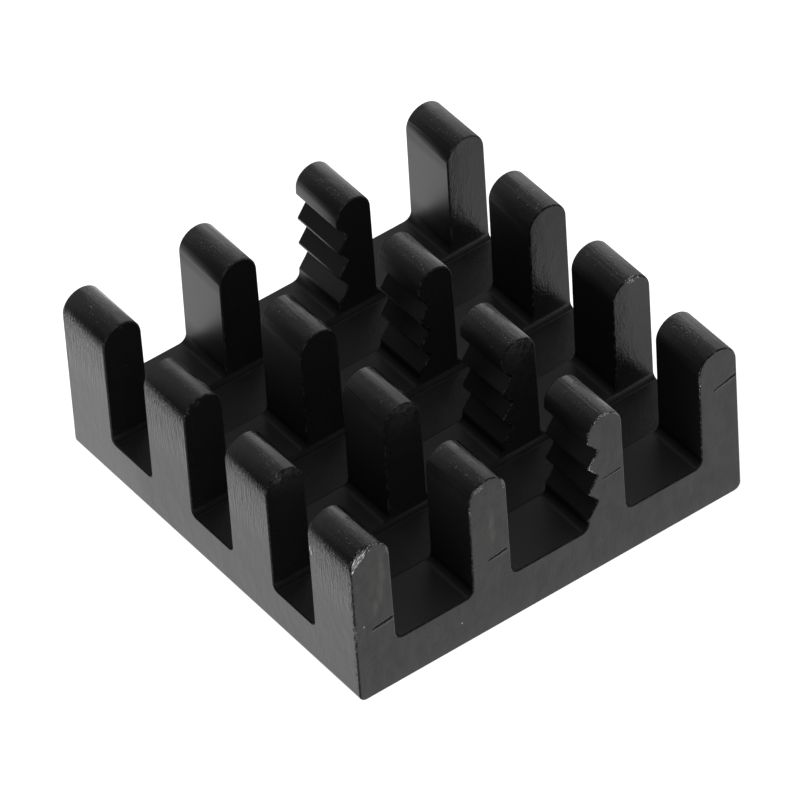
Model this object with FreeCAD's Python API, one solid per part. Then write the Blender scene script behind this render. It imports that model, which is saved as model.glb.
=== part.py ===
import FreeCAD, Part
import math
import os

os.makedirs("parts", exist_ok=True)

# Pin fin heat sink, millimetres.
# X runs across the extruded profile, Y along the extrusion, Z is up.
# The origin is the middle of the flat base face.

# Overall size
profile_width = 14.0
cut_length = 14.2
overall_height = 5.9

# Base plate and fins of the profile
base_thickness = 1.7
base_edge_radius = 0.25
fin_count = 4
fin_foot = 1.4
wall_lean = 0.45
groove_fillet = 0.28

# Serration on the -X side of one fin
serrated_fin = 2
serrated_lean = 1.9
notch_count = 3
notch_pitch = 0.98
notch_depth = 0.38
notch_under = 0.44
top_tooth_height = 5.05
notch_radius = 0.08

# Saw slots across the fins
slot_count = 3
slot_width = 2.0
slot_pitch = 4.02
slot_floor = 1.55
slot_fillet = 0.2

# Values that follow from the ones above
half_width = profile_width / 2
half_length = cut_length / 2
fin_pitch = (profile_width - fin_foot) / (fin_count - 1)


def at(x, z):
    return FreeCAD.Vector(x, -half_length, z)


def closed_outline(corners):
    """Wire through corners given as (point, radius), each rounded by a tangent arc."""
    bends = []
    for index, (corner, radius) in enumerate(corners):
        back = (corners[index - 1][0] - corner).normalize()
        ahead = (corners[(index + 1) % len(corners)][0] - corner).normalize()
        half_angle = back.getAngle(ahead) / 2
        reach = radius / math.tan(half_angle)
        inset = radius / math.sin(half_angle) - radius
        inward = (back + ahead).normalize()
        bends.append((corner + back * reach, corner + inward * inset, corner + ahead * reach))
    edges = []
    for index, (start, middle, end) in enumerate(bends):
        if start.distanceToPoint(end) > 1e-6:
            edges.append(Part.Arc(start, middle, end).toShape())
        following = bends[(index + 1) % len(bends)][0]
        if end.distanceToPoint(following) > 1e-6:
            edges.append(Part.makeLine(end, following))
    return Part.Wire(edges)


def lean_shift(lean, height):
    """How far a wall leaning inwards has moved at a height above the base plate."""
    return math.tan(math.radians(lean)) * (height - base_thickness)


def full_round_radius(width, left_lean, right_lean):
    """Radius that touches both walls and the crest line of a fin."""
    left = math.tan(math.radians(45 - left_lean / 2))
    right = math.tan(math.radians(45 - right_lean / 2))
    return width / (left + right)


def serration(foot_x):
    """Tooth tips and notch roots up the serrated wall, lowest first."""
    lowest_tip = top_tooth_height - notch_count * notch_pitch
    corners = [(at(foot_x + lean_shift(serrated_lean, lowest_tip), lowest_tip), notch_radius)]
    for notch in range(1, notch_count + 1):
        tip = lowest_tip + notch * notch_pitch
        root = tip - notch_under
        root_x = foot_x + lean_shift(serrated_lean, root) + notch_depth
        corners.append((at(root_x, root), notch_radius))
        corners.append((at(foot_x + lean_shift(serrated_lean, tip), tip), notch_radius))
    return corners


def fin_corners(index):
    """Corners of one fin from its left foot over the crest to its right foot."""
    left_x = -half_width + index * fin_pitch
    right_x = left_x + fin_foot
    outer_left = index == 0
    outer_right = index == fin_count - 1
    left_lean = 0 if outer_left else wall_lean
    right_lean = 0 if outer_right else wall_lean
    if index == serrated_fin:
        left_lean = serrated_lean
    corners = []
    if not outer_left:
        corners.append((at(left_x, base_thickness), groove_fillet))
    if index == serrated_fin:
        corners.extend(serration(left_x))
    crest_left = left_x + lean_shift(left_lean, overall_height)
    crest_right = right_x - lean_shift(right_lean, overall_height)
    crest_radius = full_round_radius(crest_right - crest_left, left_lean, right_lean)
    corners.append((at(crest_left, overall_height), crest_radius))
    corners.append((at(crest_right, overall_height), crest_radius))
    if not outer_right:
        corners.append((at(right_x, base_thickness), groove_fillet))
    return corners


# Extruded body: base plate with the fins along its whole length
outline = [(at(-half_width, 0), base_edge_radius)]
for index in range(fin_count):
    outline.extend(fin_corners(index))
outline.append((at(half_width, 0), base_edge_radius))
profile = Part.Face(closed_outline(outline))
body = profile.extrude(FreeCAD.Vector(0, cut_length, 0))

# Saw slots that part the fins into pins, cut a little below the groove floors
slot_height = overall_height - slot_floor
for index in range(slot_count):
    middle = (index - (slot_count - 1) / 2) * slot_pitch
    corner = FreeCAD.Vector(-profile_width, middle - slot_width / 2, slot_floor)
    slot = Part.makeBox(2 * profile_width, slot_width, 2 * slot_height, corner)
    floor_edges = []
    for edge in slot.Edges:
        box = edge.BoundBox
        if box.XLength > profile_width and abs(box.ZMax - slot_floor) < 1e-6:
            floor_edges.append(edge)
    body = body.cut(slot.makeFillet(slot_fillet, floor_edges))

body.exportStep("parts/heat_sink.step")
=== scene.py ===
from math import atan2, cos, dist, radians, sin

import bpy
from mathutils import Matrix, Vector


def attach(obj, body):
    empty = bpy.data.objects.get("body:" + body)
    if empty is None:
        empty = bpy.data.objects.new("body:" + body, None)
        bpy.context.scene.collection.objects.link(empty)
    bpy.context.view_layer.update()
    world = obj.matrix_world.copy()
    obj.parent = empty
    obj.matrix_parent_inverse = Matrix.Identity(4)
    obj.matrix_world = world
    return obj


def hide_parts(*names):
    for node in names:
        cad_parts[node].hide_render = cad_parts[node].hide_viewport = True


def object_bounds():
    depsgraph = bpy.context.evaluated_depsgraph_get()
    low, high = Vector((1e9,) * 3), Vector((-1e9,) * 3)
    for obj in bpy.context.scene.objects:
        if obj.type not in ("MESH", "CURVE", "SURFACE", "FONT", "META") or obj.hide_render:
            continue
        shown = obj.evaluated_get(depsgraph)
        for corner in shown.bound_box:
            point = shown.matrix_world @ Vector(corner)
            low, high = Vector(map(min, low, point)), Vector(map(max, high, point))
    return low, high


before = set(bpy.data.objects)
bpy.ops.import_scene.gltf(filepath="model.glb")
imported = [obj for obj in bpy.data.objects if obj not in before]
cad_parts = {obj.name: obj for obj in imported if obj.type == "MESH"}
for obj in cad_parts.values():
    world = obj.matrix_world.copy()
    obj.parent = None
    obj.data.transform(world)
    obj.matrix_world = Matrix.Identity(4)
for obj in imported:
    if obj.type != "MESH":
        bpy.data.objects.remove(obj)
cad_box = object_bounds()

MM = 0.001

# Places on the heat sink that its finish follows, in millimetres; the first row of pins is the near one
SIDE_X = 7.0
THIRD_SHOULDER_X = 2.6
CUT_END_Y = 7.1
FIRST_ROW_END_Y = -5.0
THIRD_ROW_END_Y = 3.0
LAST_ROW_START_Y = 5.0
SLOT_FLOOR_Z = 1.55
GROOVE_FLOOR_Z = 1.7
GROOVE_CORNER_Z = 1.98
SHOULDER_Z = 5.2
ROUND_TOP_X, ROUND_TOP_Z, ROUND_TOP_CHORD = -6.314, 5.214, 0.36
EDGE_WIDTH = 0.045

# Scratches on the near end: thin end, thick end, greatest width
DRAG_MARKS = [
    ((-6.44, 2.60), (-5.64, 2.69), 0.12),
    ((-2.25, 2.73), (-1.52, 2.84), 0.10),
    ((1.97, 3.41), (2.66, 3.49), 0.07),
    ((6.10, 4.41), (7.02, 4.64), 0.11)]

# Faint pale smears above two of them, the first one slanting: middle and half size
SMEARS = [
    ((-5.93, -7.1, 4.70), (0.17, 0.2, 0.80)),
    ((-6.06, -7.1, 3.95), (0.17, 0.2, 0.65)),
    ((-6.24, -7.1, 3.35), (0.16, 0.2, 0.45)),
    ((-2.02, -7.1, 3.90), (0.16, 0.2, 0.85))]

# Patches of sawn edge where the burr has torn down to bare specks: middle and half size
TORN_PATCHES = [
    ((-6.05, -7.1, 5.87), (0.30, 0.08, 0.07)),
    ((-6.72, -7.0, 5.62), (0.30, 0.12, 0.30)),
    ((-5.68, -7.1, 5.45), (0.08, 0.08, 0.26)),
    ((-7.0, -7.1, 2.75), (0.06, 0.06, 0.45)),
    ((-6.95, -5.05, 5.25), (0.30, 0.10, 0.50)),
    ((-1.52, -7.1, 5.47), (0.07, 0.08, 0.30)),
    ((-2.45, -7.1, 5.72), (0.24, 0.08, 0.15)),
    ((-2.78, -7.1, 4.85), (0.06, 0.08, 0.40)),
    ((1.52, -7.1, 4.98), (0.12, 0.08, 0.16)),
    ((2.30, -7.1, 5.87), (0.32, 0.08, 0.07)),
    ((6.40, -3.0, 5.84), (0.36, 0.10, 0.18)),
    ((-6.58, -3.0, 5.72), (0.20, 0.10, 0.22)),
    ((-6.86, 1.0, 5.52), (0.10, 0.10, 0.10)),
    ((-6.48, 1.0, 5.70), (0.14, 0.10, 0.08)),
    ((-6.33, 5.0, 5.76), (0.10, 0.10, 0.06))]

# Scuffs on the side of the near outer pin, by its back edge: middle and half size
SIDE_SCUFFS = [((-7.0, -5.08, 4.75), (0.10, 0.06, 0.13)), ((-7.0, -5.16, 4.62), (0.10, 0.05, 0.11))]

# Single pale dots on the near end, and the half size of each
PALE_DOTS = [(-3.27, -7.1, 0.88), (-6.68, -7.1, 2.88)]
DOT_SIZE = (0.03, 0.03, 0.04)

# Knock on the near outer pin's round top: slope and middle of the straight line it left on the near end
KNOCK_TURN = radians(40)
KNOCK_MIDDLE = (
    ROUND_TOP_X - ROUND_TOP_CHORD * sin(KNOCK_TURN), -CUT_END_Y,
    ROUND_TOP_Z + ROUND_TOP_CHORD * cos(KNOCK_TURN))

# Bare metal of the torn specks
TORN_METAL = "#c2c2c2"

# Lamp over the near left, in metres
LAMP_PLACE = Vector((-0.10, -0.12, 0.30))

# Settings of the nodes that work on values, colours and places
ABSOLUTE = {"operation": "ABSOLUTE"}
ADD = {"operation": "ADD"}
DIVIDE = {"operation": "DIVIDE"}
GREATER_THAN = {"operation": "GREATER_THAN"}
MAXIMUM = {"operation": "MAXIMUM"}
MULTIPLY = {"operation": "MULTIPLY"}
MULTIPLY_ADD = {"operation": "MULTIPLY_ADD"}
SUBTRACT = {"operation": "SUBTRACT"}
SMOOTH_STEP = {"interpolation_type": "SMOOTHSTEP"}
COLOURS = {"data_type": "RGBA"}
INTO_PLACE = {"vector_type": "TEXTURE"}

# Finishes in the order of the body's material slots
DRAWN, SAWN, BURR, LIT_EDGE, BARE = range(5)


def linear(hex_colour):
    """An sRGB hex colour as linear red, green, blue and alpha."""
    values = [int(hex_colour[i:i + 2], 16) / 255 for i in (1, 3, 5)]
    return [v / 12.92 if v <= 0.04045 else ((v + 0.055) / 1.055) ** 2.4 for v in values] + [1.0]


def add_node(tree, kind, settings=None, inputs=()):
    """One shader node with its settings. Its inputs, in order or by name, are values, sockets, or nodes,
    each of which stands for its first output in use."""
    node = tree.nodes.new("ShaderNode" + kind)
    for name, value in (settings or {}).items():
        setattr(node, name, value)
    for name, value in inputs.items() if isinstance(inputs, dict) else enumerate(inputs):
        if isinstance(value, bpy.types.Node):
            value = next(socket for socket in value.outputs if socket.enabled)
        if isinstance(value, bpy.types.NodeSocket):
            tree.links.new(value, node.inputs[name])
        else:
            node.inputs[name].default_value = value
    return node


def uneven_marks(tree, place, per_mm, detail, roughness):
    """Uneven marks, 0 to 1, whose number per millimetre is given along X, Y and Z."""
    spaced = add_node(tree, "VectorMath", MULTIPLY, [place, per_mm])
    return add_node(tree, "TexNoise", None, {
        "Vector": spaced, "Scale": 1.0, "Detail": detail, "Roughness": roughness})


def drag_mark(tree, place, start, end, width):
    """A scratch across a cut end, given as (x, z) points from its thin to its thick end.
    The first result is 1 along the groove, the second along the lips it raised."""
    length = dist(start, end)
    middle = ((start[0] + end[0]) / 2, 0, (start[1] + end[1]) / 2)
    turn = atan2(end[1] - start[1], end[0] - start[0])
    local = add_node(tree, "Mapping", INTO_PLACE, {
        "Vector": place, "Location": middle, "Rotation": (0, -turn, 0)})
    parts = add_node(tree, "SeparateXYZ", None, [local])
    torn = uneven_marks(tree, place, (8.0, 8.0, 8.0), 3.0, 0.6)
    aside = add_node(tree, "Math", MULTIPLY_ADD, [torn, 0.9 * width, parts.outputs["Z"]])
    across = add_node(tree, "Math", ABSOLUTE, [add_node(tree, "Math", SUBTRACT, [aside, 0.45 * width])])
    along = parts.outputs["X"]
    half_width = add_node(tree, "MapRange", SMOOTH_STEP, [
        along, -length / 2, length / 2, width * 0.3, width * 0.5])
    inside = add_node(tree, "Math", DIVIDE, [across, half_width])
    on_length = add_node(tree, "MapRange", SMOOTH_STEP, [
        add_node(tree, "Math", ABSOLUTE, [along]), length * 0.42, length * 0.52, 1.0, 0.0])
    groove = add_node(tree, "Math", MULTIPLY, [
        on_length, add_node(tree, "MapRange", SMOOTH_STEP, [inside, 0.7, 1.3, 1.0, 0.0])])
    lips = add_node(tree, "Math", MULTIPLY, [
        on_length, add_node(tree, "MapRange", SMOOTH_STEP, [inside, 1.2, 3.0, 1.0, 0.0])])
    return groove, add_node(tree, "Math", SUBTRACT, [lips, groove])


def bare_spot(tree, place, middle, size, core=0.7):
    """1 in the core of a small ellipsoid, 0 outside, for a place where the black layer has worn or come
    off."""
    local = add_node(tree, "Mapping", INTO_PLACE, {
        "Vector": place, "Location": middle, "Scale": size})
    reach = add_node(tree, "VectorMath", {"operation": "LENGTH"}, [local])
    return add_node(tree, "MapRange", SMOOTH_STEP, [reach, core, 1.0, 1.0, 0.0])


def torn_patches(tree, place):
    """1 on the bare specks of the torn patches."""
    patch = bare_spot(tree, place, *TORN_PATCHES[0])
    for middle, size in TORN_PATCHES[1:]:
        patch = add_node(tree, "Math", MAXIMUM, [patch, bare_spot(tree, place, middle, size)])
    specks = uneven_marks(tree, place, (31.0, 31.0, 31.0), 3.0, 0.65)
    return add_node(tree, "Math", MULTIPLY, [
        patch, add_node(tree, "MapRange", SMOOTH_STEP, [specks, 0.56, 0.62])])


def start_material(name):
    """A new material, its node tree, the place in millimetres, also as X, Y and Z, and the way faced."""
    material = bpy.data.materials.new(name)
    material.use_nodes = True
    tree = material.node_tree
    tree.nodes.clear()
    coordinates = add_node(tree, "TexCoord")
    place = add_node(tree, "VectorMath", {"operation": "SCALE"}, {
        0: coordinates.outputs["Object"], "Scale": 1 / MM})
    where = add_node(tree, "SeparateXYZ", None, [place])
    facing = add_node(tree, "SeparateXYZ", None, [coordinates.outputs["Normal"]])
    return material, tree, place, where.outputs, facing.outputs


def finish_material(tree, colour, metallic, roughness, height, ior, specular=0.5):
    """The shader of a skin whose marks stand a height in thousandths of a millimetre."""
    bump = add_node(tree, "Bump", None, {"Strength": 1.0, "Distance": 0.001 * MM, "Height": height})
    shader = add_node(tree, "BsdfPrincipled", None, {
        "Base Color": colour, "Metallic": metallic, "Roughness": roughness, "IOR": ior,
        "Specular IOR Level": specular, "Normal": bump})
    add_node(tree, "OutputMaterial", None, {"Surface": shader})


def pits_and_glints(tree, place, per_mm, share):
    """Small round pits in a share of the cells of a pattern, and the few of them that shine pale."""
    cells = add_node(tree, "TexVoronoi", None, {"Vector": place, "Scale": per_mm})
    pick = add_node(tree, "SeparateColor", None, {"Color": cells.outputs["Color"]})
    size = add_node(tree, "MapRange", SMOOTH_STEP, [
        pick.outputs["Red"], 1.0 - share, 1.0, 0.0, 0.038 * per_mm])
    pits = add_node(tree, "MapRange", SMOOTH_STEP, [
        add_node(tree, "Math", SUBTRACT, [size, cells.outputs["Distance"]]), 0.0, 0.02 * per_mm])
    pale = add_node(tree, "Math", MULTIPLY, [
        pits, add_node(tree, "Math", GREATER_THAN, [pick.outputs["Green"], 0.75])])
    return pits, pale


def drawn_skin():
    """Black anodised aluminium as extruded: a dyed oxide skin, smooth enough to mirror a pale room softly
    and rougher down in the grooves and on the walls that face left, where its reflection is also turned down
    as painted shade. Fine lines run along the extrusion, short upright tool marks start as pale hairs under
    the shoulders of the two outer sides, the third fin's right shoulder has a painted highlight, the outer
    sides are painted paler towards the base as a reflection of the table, and dents and dust lie on the
    round tops."""
    material, tree, place, where, facing = start_material("black anodised aluminium, drawn")
    x, y, z = where["X"], where["Y"], where["Z"]
    outer = add_node(tree, "MapRange", SMOOTH_STEP, [
        add_node(tree, "Math", ABSOLUTE, [x]), SIDE_X - 0.35, SIDE_X - 0.05])
    on_side = add_node(tree, "Math", MULTIPLY, [
        outer,
        add_node(tree, "MapRange", SMOOTH_STEP, [
            add_node(tree, "Math", ABSOLUTE, [facing["X"]]), 0.3, 0.7])])

    # Short upright tool marks 0.05 to 0.1 mm apart, deepest just under the round shoulders, whose start
    # they make ragged, and broad faint blotches of half a millimetre and more
    fine = uneven_marks(tree, place, (1.0, 13.0, 1.5), 3.0, 0.6)
    broad = uneven_marks(tree, place, (1.5, 1.6, 1.0), 3.0, 0.6)
    under_shoulder = add_node(tree, "MapRange", SMOOTH_STEP, [z, 2.8, SHOULDER_Z, 0.05, 1.0])
    depth = add_node(tree, "Math", MULTIPLY, [on_side, under_shoulder])
    height = add_node(tree, "Math", MULTIPLY, [fine, add_node(tree, "Math", MULTIPLY, [depth, 50.0])])
    height = add_node(tree, "Math", MULTIPLY_ADD, [
        broad, add_node(tree, "Math", MULTIPLY, [on_side, 15.0]), height])
    ragged = add_node(tree, "Math", MULTIPLY, [
        on_side, add_node(tree, "Math", MULTIPLY_ADD, [fine, 0.6, -0.3])])
    rolled = add_node(tree, "MapRange", SMOOTH_STEP, [
        add_node(tree, "Math", ADD, [z, ragged]), SHOULDER_Z - 0.35, SHOULDER_Z + 0.55, 0.0, -80.0])
    height = add_node(tree, "Math", ADD, [height, rolled])
    hairs = add_node(tree, "MapRange", SMOOTH_STEP, [
        uneven_marks(tree, place, (1.0, 18.0, 3.0), 2.0, 0.6), 0.40, 0.60])
    at_start = add_node(tree, "Math", MULTIPLY, [
        on_side, add_node(tree, "MapRange", SMOOTH_STEP, [z, SHOULDER_Z - 0.4, SHOULDER_Z - 0.1])])
    at_start = add_node(tree, "Math", MULTIPLY, [
        at_start,
        add_node(tree, "MapRange", SMOOTH_STEP, [z, SHOULDER_Z + 0.1, SHOULDER_Z + 0.4, 1.0, 0.0])])
    height = add_node(tree, "Math", MULTIPLY_ADD, [
        hairs, add_node(tree, "Math", MULTIPLY, [at_start, 12.0]), height])

    # Lines along the extrusion, 0.05 to 0.15 mm apart, and stronger ones a few tenths apart on the round
    # tops
    on_top = add_node(tree, "MapRange", SMOOTH_STEP, [z, SHOULDER_Z, SHOULDER_Z + 0.3])
    lines = uneven_marks(tree, place, (10.0, 0.25, 10.0), 3.0, 0.6)
    height = add_node(tree, "Math", MULTIPLY_ADD, [
        lines, add_node(tree, "Math", MULTIPLY_ADD, [on_side, -1.8, 2.0]), height])
    ridges = uneven_marks(tree, place, (5.0, 0.12, 5.0), 3.0, 0.7)
    height = add_node(tree, "Math", MULTIPLY_ADD, [
        ridges, add_node(tree, "Math", MULTIPLY, [on_top, 9.0]), height])
    scored = add_node(tree, "MapRange", SMOOTH_STEP, [
        uneven_marks(tree, place, (8.0, 0.06, 8.0), 1.0, 0.5), 0.58, 0.63])
    height = add_node(tree, "Math", MULTIPLY_ADD, [
        scored, add_node(tree, "Math", MULTIPLY, [on_top, 3.5]), height])

    # Dents 0.07 mm, pits 0.2 mm apart and dust 0.05 mm, in clusters a millimetre across on the round tops,
    # faint along their crests, and the scuffs on the near outer pin
    clusters = add_node(tree, "MapRange", SMOOTH_STEP, [
        uneven_marks(tree, place, (1.1, 1.1, 1.1), 1.0, 0.5), 0.43, 0.55])
    clusters = add_node(tree, "Math", MULTIPLY, [clusters, on_top])
    clusters = add_node(tree, "Math", MULTIPLY, [
        clusters, add_node(tree, "MapRange", SMOOTH_STEP, [facing["Z"], 0.75, 0.96, 0.12, 0.8])])
    crest = add_node(tree, "MapRange", SMOOTH_STEP, [facing["Z"], 0.94, 0.99, 0.0, 0.4])
    dusty = add_node(tree, "Math", MAXIMUM, [clusters, add_node(tree, "Math", MULTIPLY, [crest, on_top])])
    dents = uneven_marks(tree, place, (15.0, 10.0, 15.0), 3.0, 0.65)
    height = add_node(tree, "Math", MULTIPLY_ADD, [
        dents, add_node(tree, "Math", MULTIPLY, [dusty, 26.0]), height])
    pits, pale = pits_and_glints(tree, place, 5.0, 0.4)
    pits = add_node(tree, "Math", MULTIPLY, [pits, clusters])
    pale = add_node(tree, "Math", MULTIPLY, [pale, clusters])
    height = add_node(tree, "Math", MULTIPLY_ADD, [pits, -20.0, height])
    dust = add_node(tree, "MapRange", SMOOTH_STEP, [
        uneven_marks(tree, place, (20.0, 16.0, 20.0), 2.0, 0.6), 0.63, 0.71])
    dust = add_node(tree, "Math", MULTIPLY, [dust, dusty])
    scuffed = add_node(tree, "Math", MAXIMUM, [bare_spot(tree, place, *scuff) for scuff in SIDE_SCUFFS])
    flecks = uneven_marks(tree, place, (14.0, 14.0, 6.0), 2.0, 0.5)
    bare = add_node(tree, "Math", MULTIPLY, [
        scuffed, add_node(tree, "MapRange", SMOOTH_STEP, [flecks, 0.36, 0.44])])
    bare = add_node(tree, "Math", MAXIMUM, [bare, add_node(tree, "Math", MULTIPLY, [pale, 0.8])])
    height = add_node(tree, "Math", MULTIPLY_ADD, [
        add_node(tree, "Math", MULTIPLY, [scuffed, flecks]), 30.0, height])

    # The black is painted paler by the base as a reflection of the table and has a painted highlight on the
    # third shoulder, pale where dust and hairs stand out, and frayed dark along the near cut
    # Painted reflection of the table: the outer sides paler and warmer towards the base
    rubbed = add_node(tree, "Math", MULTIPLY, [
        outer, add_node(tree, "MapRange", SMOOTH_STEP, [z, 0.0, 1.6, 0.6, 0.0])])
    colour = add_node(tree, "Mix", COLOURS, {0: rubbed, 6: linear("#0c0a0b"), 7: linear("#2e2c2a")})
    # Painted highlight: the third fin's right shoulder is paler on the round top where it faces right
    aside = add_node(tree, "Math", ABSOLUTE, [add_node(tree, "Math", SUBTRACT, [x, THIRD_SHOULDER_X])])
    painted_third_shoulder_highlight = add_node(tree, "Math", MULTIPLY, [
        add_node(tree, "MapRange", SMOOTH_STEP, [aside, 0.3, 0.5, 1.0, 0.0]), on_top])
    painted_third_shoulder_highlight = add_node(tree, "Math", MULTIPLY, [
        painted_third_shoulder_highlight, add_node(tree, "MapRange", SMOOTH_STEP, [facing["X"], 0.25, 0.65])])
    colour = add_node(tree, "Mix", COLOURS, {0: painted_third_shoulder_highlight, 6: colour, 7: linear("#565556")})
    colour = add_node(tree, "Mix", COLOURS, {0: dust, 6: colour, 7: linear("#6e6b6a")})
    tips = add_node(tree, "MapRange", SMOOTH_STEP, [
        uneven_marks(tree, place, (18.0, 22.0, 14.0), 2.0, 0.6), 0.62, 0.68])
    colour = add_node(tree, "Mix", COLOURS, {
        0: add_node(tree, "Math", MULTIPLY, [tips, at_start]), 6: colour, 7: linear("#8a8887")})
    colour = add_node(tree, "Mix", COLOURS, {
        0: add_node(tree, "Math", MULTIPLY, [pits, 0.8]), 6: colour, 7: linear("#040404")})
    colour = add_node(tree, "Mix", COLOURS, {0: bare, 6: colour, 7: linear("#a09e9b")})
    frayed = add_node(tree, "Math", MULTIPLY, [
        outer, add_node(tree, "MapRange", SMOOTH_STEP, [y, -CUT_END_Y + 0.03, -CUT_END_Y + 0.2, 1.0, 0.0])])
    frayed = add_node(tree, "Math", MULTIPLY, [
        frayed, add_node(tree, "MapRange", SMOOTH_STEP, [flecks, 0.50, 0.60])])
    colour = add_node(tree, "Mix", COLOURS, {0: frayed, 6: colour, 7: linear("#030303")})

    # Rougher down in the grooves and on the walls that face left, less so in the last row, with the
    # reflection turned down there and most in the rounded corners of the grooves as painted shade
    inner = add_node(tree, "Math", SUBTRACT, [1.0, outer])
    inner_wall = add_node(tree, "MapRange", SMOOTH_STEP, [facing["X"], -0.95, -0.80, 1.0, 0.0])
    last_row = add_node(tree, "MapRange", SMOOTH_STEP, [y, THIRD_ROW_END_Y, LAST_ROW_START_Y, 1.0, 0.45])
    inner_wall = add_node(tree, "Math", MULTIPLY, [inner_wall, last_row])
    sunk = add_node(tree, "Math", MAXIMUM, [
        add_node(tree, "MapRange", SMOOTH_STEP, [z, GROOVE_FLOOR_Z, 3.6, 1.0, 0.0]), inner_wall])
    sunk = add_node(tree, "Math", MULTIPLY, [sunk, inner])
    roughness = add_node(tree, "Math", MULTIPLY_ADD, [
        sunk, 0.35, add_node(tree, "Math", MULTIPLY_ADD, [depth, 0.04, 0.22])])
    roughness = add_node(tree, "Math", MULTIPLY_ADD, [frayed, 0.6, roughness])
    # Painted shade: the reflection turned down in the grooves, on the walls that face left and most in the
    # rounded corners
    dull = add_node(tree, "Math", MULTIPLY, [
        inner_wall,
        add_node(tree, "MapRange", SMOOTH_STEP, [y, THIRD_ROW_END_Y, LAST_ROW_START_Y, 0.16, 0.0])])
    dull = add_node(tree, "Math", MULTIPLY_ADD, [sunk, 0.07, dull])
    shaded_hollow = add_node(tree, "MapRange", SMOOTH_STEP, [
        z, GROOVE_CORNER_Z - 0.01, GROOVE_CORNER_Z + 0.04, 1.0, 0.0])
    shaded_hollow = add_node(tree, "Math", MULTIPLY, [
        shaded_hollow, add_node(tree, "MapRange", SMOOTH_STEP, [facing["X"], -0.5, -0.25, 1.0, 0.0])])
    shaded_hollow = add_node(tree, "Math", MULTIPLY, [shaded_hollow, inner])
    dull = add_node(tree, "Math", MULTIPLY_ADD, [shaded_hollow, 0.22, dull])
    finish_material(
        tree, colour, bare, roughness, height, 1.6, add_node(tree, "Math", SUBTRACT, [0.5, dull]))
    return material


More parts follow.
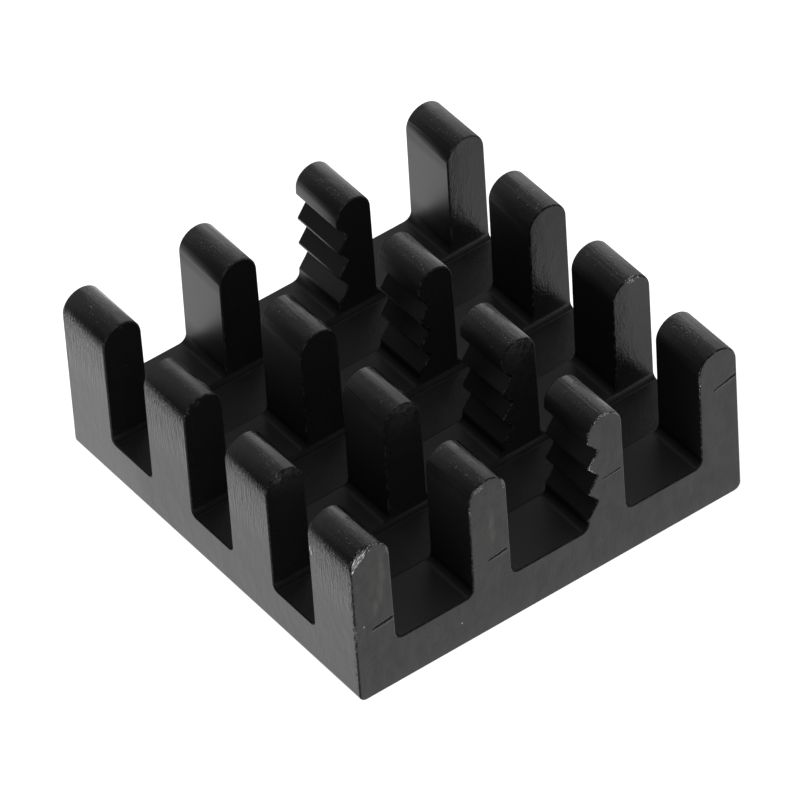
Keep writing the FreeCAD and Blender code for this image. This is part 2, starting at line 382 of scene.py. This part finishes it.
def sawn_skin():
    """Black anodised aluminium over a saw cut: finely matt and mottled, with faint upright bands,
    dark pits, pale specks, and a drag mark across each fin of the near end, its groove painted dark as shade
    and its lips painted paler as a highlight. The near end is painted paler and warmer towards the base as a
    reflection of the table. In the slots it has painted shade, darkest on the floors, and it is smoother on
    the upright walls, coarser on the fourth fin, and its reflection is turned down in the rounded corners as
    painted shade."""
    material, tree, place, where, facing = start_material("black anodised aluminium, sawn")
    x, y, z = where["X"], where["Y"], where["Z"]

    # Grain of 0.07 mm, as coarse as it needs to be to show, mottling of 0.3 mm, upright bands 0.8 mm wide
    # and pits 0.3 mm apart
    grain = uneven_marks(tree, place, (15.0, 15.0, 9.0), 3.0, 0.65)
    mottle = uneven_marks(tree, place, (3.2, 3.2, 1.6), 4.0, 0.6)
    bands = uneven_marks(tree, place, (1.3, 1.3, 0.22), 2.0, 0.5)
    pits, pale = pits_and_glints(tree, place, 3.2, 0.4)

    # The near end alone has the drag marks, the pale dots and the smears
    near_end = add_node(tree, "MapRange", SMOOTH_STEP, [y, -CUT_END_Y + 0.02, -CUT_END_Y + 0.08, 1.0, 0.0])
    in_slots = add_node(tree, "Math", SUBTRACT, [1.0, near_end])
    grooves, lips = drag_mark(tree, place, *DRAG_MARKS[0])
    for mark in DRAG_MARKS[1:]:
        groove, lip = drag_mark(tree, place, *mark)
        grooves = add_node(tree, "Math", MAXIMUM, [grooves, groove])
        lips = add_node(tree, "Math", MAXIMUM, [lips, lip])
    grooves = add_node(tree, "Math", MULTIPLY, [grooves, near_end])
    lips = add_node(tree, "Math", MULTIPLY, [lips, near_end])
    for dot in PALE_DOTS:
        pale = add_node(tree, "Math", MAXIMUM, [pale, bare_spot(tree, place, dot, DOT_SIZE)])
    pits = add_node(tree, "Math", MULTIPLY, [pits, add_node(tree, "Math", MAXIMUM, [near_end, 0.7])])
    pale = add_node(tree, "Math", MULTIPLY, [pale, near_end])
    torn = torn_patches(tree, place)

    coarser = add_node(tree, "Math", MULTIPLY, [
        add_node(tree, "MapRange", SMOOTH_STEP, [x, 4.0, 5.5, 0.0, 6.0]), in_slots])
    height = add_node(tree, "Math", MULTIPLY, [grain, add_node(tree, "Math", ADD, [coarser, 5.0])])
    height = add_node(tree, "Math", MULTIPLY_ADD, [mottle, 16.0, height])
    height = add_node(tree, "Math", MULTIPLY_ADD, [bands, 14.0, height])
    height = add_node(tree, "Math", MULTIPLY_ADD, [grooves, -14.0, height])
    height = add_node(tree, "Math", MULTIPLY_ADD, [lips, 5.0, height])
    height = add_node(tree, "Math", MULTIPLY_ADD, [pits, -12.0, height])

    # Painted reflection of the table: the near end paler and warmer towards the base
    rubbed = add_node(tree, "Math", MULTIPLY, [
        near_end, add_node(tree, "MapRange", SMOOTH_STEP, [z, 0.0, 0.7, 0.5, 0.0])])
    colour = add_node(tree, "Mix", COLOURS, {
        0: add_node(tree, "MapRange", SMOOTH_STEP, [bands, 0.4, 0.65]), 6: linear("#0b0a0a"),
        7: linear("#1a1817")})
    colour = add_node(tree, "Mix", COLOURS, {
        0: add_node(tree, "MapRange", SMOOTH_STEP, [mottle, 0.35, 0.7, 0.0, 0.7]), 6: colour,
        7: linear("#23211f")})
    tilt = add_node(tree, "Math", ABSOLUTE, [facing["Y"]])
    upright = add_node(tree, "MapRange", SMOOTH_STEP, [tilt, 0.4, 0.8])
    # Painted shade in the slots: darkest on the floors, a shade lighter on the upright walls
    painted_slot_shade = add_node(tree, "Mix", COLOURS, {0: upright, 6: linear("#060606"), 7: linear("#151515")})
    colour = add_node(tree, "Mix", COLOURS, {0: near_end, 6: painted_slot_shade, 7: colour})
    colour = add_node(tree, "Mix", COLOURS, {0: rubbed, 6: colour, 7: linear("#2c2b29")})
    for middle, size in SMEARS:
        smear = bare_spot(tree, place, middle, size, 0.2)
        smear = add_node(tree, "Math", MULTIPLY, [
            smear, add_node(tree, "MapRange", SMOOTH_STEP, [mottle, 0.3, 0.6, 0.3, 0.65])])
        colour = add_node(tree, "Mix", COLOURS, {0: smear, 6: colour, 7: linear("#3f3e39")})
    # Painted highlight on the lips the drag marks raised, and painted shade in their grooves; the pits are
    # dark too
    colour = add_node(tree, "Mix", COLOURS, {
        0: add_node(tree, "Math", MULTIPLY, [lips, 0.6]), 6: colour, 7: linear("#4c4b48")})
    dark = add_node(tree, "Math", MAXIMUM, [grooves, add_node(tree, "Math", MULTIPLY, [pits, 0.8])])
    colour = add_node(tree, "Mix", COLOURS, {0: dark, 6: colour, 7: linear("#020202")})
    colour = add_node(tree, "Mix", COLOURS, {0: pale, 6: colour, 7: linear("#9a9894")})
    colour = add_node(tree, "Mix", COLOURS, {0: torn, 6: colour, 7: linear(TORN_METAL)})

    # Rougher near the slot floors, smooth on the upright walls, with the reflection turned down in the
    # rounded corners between them as painted shade
    sunk = add_node(tree, "Math", MULTIPLY, [
        in_slots,
        add_node(tree, "MapRange", SMOOTH_STEP, [z, SLOT_FLOOR_Z + 0.05, SLOT_FLOOR_Z + 0.85, 1.0, 0.0])])
    roughness = add_node(tree, "Math", MULTIPLY_ADD, [
        sunk, 0.25, add_node(tree, "MapRange", SMOOTH_STEP, [mottle, 0.3, 0.7, 0.38, 0.30])])
    smoother = add_node(tree, "Math", MULTIPLY, [upright, in_slots])
    roughness = add_node(tree, "Math", MULTIPLY_ADD, [smoother, -0.18, roughness])
    roughness = add_node(tree, "Math", MULTIPLY_ADD, [grooves, 0.6, roughness])
    roughness = add_node(tree, "Math", MULTIPLY_ADD, [pits, 0.3, roughness])
    # Painted shade: the reflection turned down in the rounded corners
    shaded_hollow = add_node(tree, "Math", MULTIPLY, [
        add_node(tree, "MapRange", SMOOTH_STEP, [tilt, 0.20, 0.42]),
        add_node(tree, "MapRange", SMOOTH_STEP, [tilt, 0.75, 0.93, 1.0, 0.0])])
    finish_material(
        tree, colour, torn, roughness, height, 1.46,
        add_node(tree, "Math", MULTIPLY_ADD, [shaded_hollow, -0.38, 0.5]))
    return material


def burred_edge():
    """Edge left by the saw: a ragged dark burr a few hundredths of a millimetre wide, dull grey where it
    is worn, in which torn specks of bare metal shine in clusters, most of them on the near round tops."""
    material, tree, place, where, _ = start_material("black anodised aluminium, burred edge")
    y, z = where["Y"], where["Z"]

    # Burr of 0.06 mm, worn spots of 0.15 mm, and specks of 0.04 mm in patches a millimetre across
    burr = uneven_marks(tree, place, (16.0, 16.0, 16.0), 3.0, 0.6)
    worn = add_node(tree, "MapRange", SMOOTH_STEP, [
        uneven_marks(tree, place, (7.0, 7.0, 7.0), 3.0, 0.65), 0.50, 0.58])
    worn = add_node(tree, "Math", MULTIPLY, [
        worn, add_node(tree, "MapRange", SMOOTH_STEP, [z, GROOVE_FLOOR_Z, GROOVE_FLOOR_Z + 0.4, 0.15, 1.0])])
    worn = add_node(tree, "Math", MULTIPLY, [
        worn,
        add_node(tree, "MapRange", SMOOTH_STEP, [y, FIRST_ROW_END_Y - 1.5, FIRST_ROW_END_Y, 1.0, 0.55])])
    patches = uneven_marks(tree, place, (0.9, 0.9, 0.9), 1.0, 0.5)
    specks = uneven_marks(tree, place, (23.0, 23.0, 23.0), 3.0, 0.7)
    low = add_node(tree, "MapRange", SMOOTH_STEP, [z, GROOVE_FLOOR_Z, GROOVE_FLOOR_Z + 0.4, -0.25, 0.0])
    likely = add_node(tree, "Math", ADD, [
        low,
        add_node(tree, "MapRange", SMOOTH_STEP, [y, FIRST_ROW_END_Y - 1.5, FIRST_ROW_END_Y, 0.0, -0.17])])
    level = add_node(tree, "Math", ADD, [
        likely, add_node(tree, "Math", MULTIPLY_ADD, [patches, 0.7, specks])])
    torn = add_node(tree, "Math", MAXIMUM, [
        add_node(tree, "MapRange", SMOOTH_STEP, [level, 0.98, 1.05]), torn_patches(tree, place)])
    dark = add_node(tree, "Mix", COLOURS, {
        0: add_node(tree, "MapRange", SMOOTH_STEP, [y, 0.0, LAST_ROW_START_Y]), 6: linear("#060606"),
        7: linear("#1c1b1a")})
    colour = add_node(tree, "Mix", COLOURS, {0: worn, 6: dark, 7: linear("#3b3b3a")})
    colour = add_node(tree, "Mix", COLOURS, {0: torn, 6: colour, 7: linear(TORN_METAL)})
    finish_material(tree, colour, torn, 0.45, add_node(tree, "Math", MULTIPLY, [burr, 20.0]), 1.5, 0.15)
    return material


def edge_with_painted_highlight():
    """Edge rolled over by the saw where it faces right: a narrow strip, worn in spots and painted paler than
    the cut beside it as a highlight, and painted darker in the rows behind the first as shade.
    """
    material, tree, place, where, _ = start_material("black anodised aluminium, edge with painted highlight")

    # Wear in spots 0.1 mm wide and half a millimetre tall
    wear = uneven_marks(tree, place, (9.0, 9.0, 2.0), 3.0, 0.6)
    torn = torn_patches(tree, place)
    # Painted highlight: the right-facing edge paler than the cut beside it, in worn spots
    colour = add_node(tree, "Mix", COLOURS, {
        0: add_node(tree, "MapRange", SMOOTH_STEP, [wear, 0.35, 0.65]), 6: linear("#1c1b1a"),
        7: linear("#4a4946")})
    # Painted shade: the edge darker in the rows behind the first
    far = add_node(tree, "MapRange", SMOOTH_STEP, [
        where["Y"], FIRST_ROW_END_Y - 1.5, FIRST_ROW_END_Y, 0.0, 0.8])
    colour = add_node(tree, "Mix", COLOURS, {0: far, 6: colour, 7: linear("#0f0e0e")})
    colour = add_node(tree, "Mix", COLOURS, {0: torn, 6: colour, 7: linear(TORN_METAL)})
    finish_material(tree, colour, torn, 0.4, add_node(tree, "Math", MULTIPLY, [wear, 4.0]), 1.46)
    return material


def bare_aluminium():
    """Bare scuffed aluminium: bright torn streaks with shreds of the black skin left between them
    and a dark ragged border."""
    material, tree, place, _, _ = start_material("bare aluminium, scuffed")

    # Streaks 0.05 mm wide and 0.2 mm long that follow the straight line of the knock
    turned = add_node(tree, "Mapping", INTO_PLACE, {
        "Vector": place, "Location": KNOCK_MIDDLE, "Rotation": (0, -KNOCK_TURN, 0)})
    parts = add_node(tree, "SeparateXYZ", None, [turned])
    streaks = uneven_marks(tree, turned, (5.5, 9.0, 20.0), 4.0, 0.65)
    ragged = uneven_marks(tree, place, (9.0, 9.0, 9.0), 2.0, 0.6)
    border = add_node(tree, "MapRange", SMOOTH_STEP, [
        add_node(tree, "Math", MULTIPLY_ADD, [ragged, 0.14, parts.outputs["Z"]]), 0.09, 0.11, 1.0, 0.0])
    far_end = add_node(tree, "MapRange", SMOOTH_STEP, [parts.outputs["X"], 0.05, 0.4, 0.0, 0.2])
    skin = add_node(tree, "MapRange", SMOOTH_STEP, [
        add_node(tree, "Math", SUBTRACT, [streaks, far_end]), 0.41, 0.47, 1.0, 0.0])
    skin = add_node(tree, "Math", MAXIMUM, [skin, border])
    metal = add_node(tree, "Math", SUBTRACT, [1.0, skin])
    colour = add_node(tree, "Mix", COLOURS, {
        0: add_node(tree, "MapRange", SMOOTH_STEP, [streaks, 0.48, 0.60]), 6: linear("#8f8d8c"),
        7: linear("#e6e4e2")})
    colour = add_node(tree, "Mix", COLOURS, {0: skin, 6: colour, 7: linear("#0b0a0a")})
    finish_material(tree, colour, metal, 0.45, add_node(tree, "Math", MULTIPLY, [streaks, 40.0]), 1.5)
    return material


def work_on(piece):
    bpy.ops.object.select_all(action="DESELECT")
    piece.select_set(True)
    bpy.context.view_layer.objects.active = piece


def knock_off_corner(piece):
    """The shallow flat that a knock left on the front edge of the near outer pin's round top."""
    lean = radians(10)
    outward = Vector((-sin(KNOCK_TURN), 0, cos(KNOCK_TURN)))
    normal = outward * sin(lean) + Vector((0, -cos(lean), 0))
    work_on(piece)
    bpy.ops.object.mode_set(mode="EDIT")
    bpy.ops.mesh.select_all(action="SELECT")
    bpy.ops.mesh.bisect(
        plane_co=Vector(KNOCK_MIDDLE) * MM, plane_no=normal, use_fill=True, clear_outer=True, threshold=1e-9)
    bpy.ops.object.mode_set(mode="OBJECT")
    for face in piece.data.polygons:
        if face.normal.dot(normal) > 0.9999:
            face.material_index = BARE


def finished_body(node, name):
    """The heat sink's own shape as one closed shell whose sawn and cut edges are barely rounded."""
    piece = bpy.data.objects.new(name, node.data.copy())
    bpy.context.scene.collection.objects.link(piece)
    piece.data.materials.clear()
    for material in (drawn_skin(), sawn_skin(), burred_edge(), edge_with_painted_highlight(), bare_aluminium()):
        piece.data.materials.append(material)
    work_on(piece)
    bpy.ops.mesh.customdata_custom_splitnormals_clear()
    bpy.ops.object.mode_set(mode="EDIT")
    bpy.ops.mesh.select_all(action="SELECT")
    bpy.ops.mesh.remove_doubles(threshold=0.002 * MM)
    bpy.ops.mesh.dissolve_limited(angle_limit=radians(0.5))
    bpy.ops.object.mode_set(mode="OBJECT")
    for face in piece.data.polygons:
        in_slot = SLOT_FLOOR_Z - 0.01 < face.center.z / MM < SLOT_FLOOR_Z + 0.14 and face.normal.z > 0.01
        face.material_index = SAWN if abs(face.normal.y) > 0.5 or in_slot else DRAWN
    knock_off_corner(piece)
    edges = piece.modifiers.new("rubbed edges", "BEVEL")
    edges.width = EDGE_WIDTH * MM
    edges.segments = 2
    edges.limit_method = "ANGLE"
    edges.angle_limit = radians(80)
    edges.use_clamp_overlap = False
    edges.material = BURR
    bpy.ops.object.modifier_apply(modifier=edges.name)
    near_end = cad_box[0][1]
    for corner in piece.data.vertices:
        corner.co.y = max(corner.co.y, near_end)
    for face in piece.data.polygons:
        x, y, z = face.center / MM
        if face.material_index != BURR:
            continue
        if z < GROOVE_FLOOR_Z + 0.2 and abs(x) < SIDE_X - 0.1 and abs(y) < CUT_END_Y - 0.1:
            face.material_index = SAWN
        # Bevels that face right get the edge with a painted highlight
        elif face.normal.x > 0.15 and face.normal.z < 0.2:
            face.material_index = LIT_EDGE
    bpy.ops.object.shade_smooth_by_angle(angle=radians(45))
    even = piece.modifiers.new("even shading", "WEIGHTED_NORMAL")
    even.keep_sharp = True
    bpy.ops.object.modifier_apply(modifier=even.name)
    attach(piece, "root")
    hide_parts("heat_sink")
    return piece


def shown_rays(tree):
    """1 for camera, glossy and transmission rays, which see the white background."""
    rays = add_node(tree, "LightPath")
    seen = add_node(tree, "Math", MAXIMUM, [rays.outputs["Is Camera Ray"], rays.outputs["Is Glossy Ray"]])
    return add_node(tree, "Math", MAXIMUM, [seen, rays.outputs["Is Transmission Ray"]])


def pale_floor():
    """White table top, seen as plain white with a faint shadow under the part. What the part mirrors of
    it dims to the far left and close on the right, and is brighter behind the part and beside its left
    face."""
    material = bpy.data.materials.new("white table")
    material.use_nodes = True
    tree = material.node_tree
    tree.nodes.clear()
    matt = add_node(tree, "BsdfDiffuse", None, {"Color": linear("#ececec")})
    place = add_node(tree, "NewGeometry").outputs["Position"]
    mirrored = add_node(tree, "LightPath").outputs["Is Glossy Ray"]
    spread = add_node(tree, "SeparateXYZ", None, [place])
    x, y = spread.outputs["X"], spread.outputs["Y"]
    right = add_node(tree, "MapRange", SMOOTH_STEP, [x, 6 * MM, 9 * MM, 0.0, 0.40])
    right = add_node(tree, "Math", ADD, [
        right, add_node(tree, "MapRange", SMOOTH_STEP, [x, 10 * MM, 13 * MM, 0.0, 0.25])])
    right = add_node(tree, "Math", MULTIPLY, [
        right, add_node(tree, "MapRange", SMOOTH_STEP, [y, -9 * MM, -4 * MM])])
    left = add_node(tree, "MapRange", SMOOTH_STEP, [x, -20 * MM, -9 * MM, 1.0, 0.0])
    dimmed = add_node(tree, "Math", MULTIPLY, [mirrored, add_node(tree, "Math", ADD, [left, right])])
    strength = add_node(tree, "Math", SUBTRACT, [
        add_node(tree, "MapRange", SMOOTH_STEP, [y, -10 * MM, 2 * MM, 1.08, 1.31]), dimmed])
    beside = add_node(tree, "MapRange", SMOOTH_STEP, [x, -12 * MM, -9.5 * MM, 0.0, 0.11])
    beside = add_node(tree, "Math", MULTIPLY, [
        beside, add_node(tree, "MapRange", SMOOTH_STEP, [x, -7.5 * MM, -7 * MM, 1.0, 0.0])])
    strength = add_node(tree, "Math", MULTIPLY_ADD, [
        beside, add_node(tree, "MapRange", SMOOTH_STEP, [y, -5 * MM, 0.0, 1.0, 0.4]), strength])
    white = add_node(tree, "Emission", None, {"Color": linear("#ffffff"), "Strength": strength})
    share = add_node(tree, "Math", MULTIPLY, [shown_rays(tree), 0.88])
    both = add_node(tree, "MixShader", None, [share, matt, white])
    add_node(tree, "OutputMaterial", None, {"Surface": both})
    bpy.ops.object.select_all(action="DESELECT")
    bpy.ops.mesh.primitive_plane_add(size=3.0, location=(0, 0, -0.01 * MM))
    floor = bpy.context.active_object
    floor.name = "table_top"
    floor.data.materials.append(material)


def studio():
    """A room that is dim to the left, brightest right of the middle and dimmer again at the far right, seen
    as plain white, and one soft lamp overhead."""
    world = bpy.data.worlds.new("studio")
    bpy.context.scene.world = world
    world.use_nodes = True
    tree = world.node_tree
    tree.nodes.clear()
    direction = add_node(tree, "TexCoord")
    x = add_node(tree, "SeparateXYZ", None, [direction.outputs["Generated"]]).outputs["X"]
    room = add_node(tree, "MapRange", SMOOTH_STEP, [x, 0.245, 0.655, 0.0, 0.72])
    room = add_node(tree, "Math", ADD, [
        room, add_node(tree, "MapRange", SMOOTH_STEP, [x, -0.9, -0.1, 0.10, 0.36])])
    room = add_node(tree, "Math", ADD, [
        room, add_node(tree, "MapRange", SMOOTH_STEP, [x, 0.65, 0.9, 0.0, -0.3])])
    rays = add_node(tree, "LightPath")
    level = add_node(tree, "Math", MAXIMUM, [room, rays.outputs["Is Camera Ray"]])
    light = add_node(tree, "Background", None, {"Color": linear("#ffffff"), "Strength": level})
    add_node(tree, "OutputWorld", None, {"Surface": light})
    lamp = bpy.data.objects.new("soft_lamp", bpy.data.lights.new("soft_lamp", "AREA"))
    bpy.context.scene.collection.objects.link(lamp)
    lamp.data.shape = "DISK"
    lamp.data.size = 0.2
    lamp.data.energy = 0.55
    lamp.location = LAMP_PLACE
    lamp.rotation_euler = LAMP_PLACE.to_track_quat("Z", "Y").to_euler()
    lamp.visible_glossy = False


def photo_camera():
    camera = bpy.data.objects.new("camera", bpy.data.cameras.new("camera"))
    bpy.context.scene.collection.objects.link(camera)
    camera.data.sensor_width = 36.0
    camera.data.lens = 421.91
    camera.data.clip_start = 0.01
    camera.data.clip_end = 10.0
    camera.location = (-0.1128348, -0.1663081, 0.1913184)
    camera.rotation_euler = (radians(46.7377), radians(2.9537), radians(-36.9149))
    bpy.context.scene.camera = camera


finished_body(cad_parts["heat_sink"], "pin_fin_body")
pale_floor()
studio()
photo_camera()
bpy.context.scene.view_settings.view_transform = "Standard"
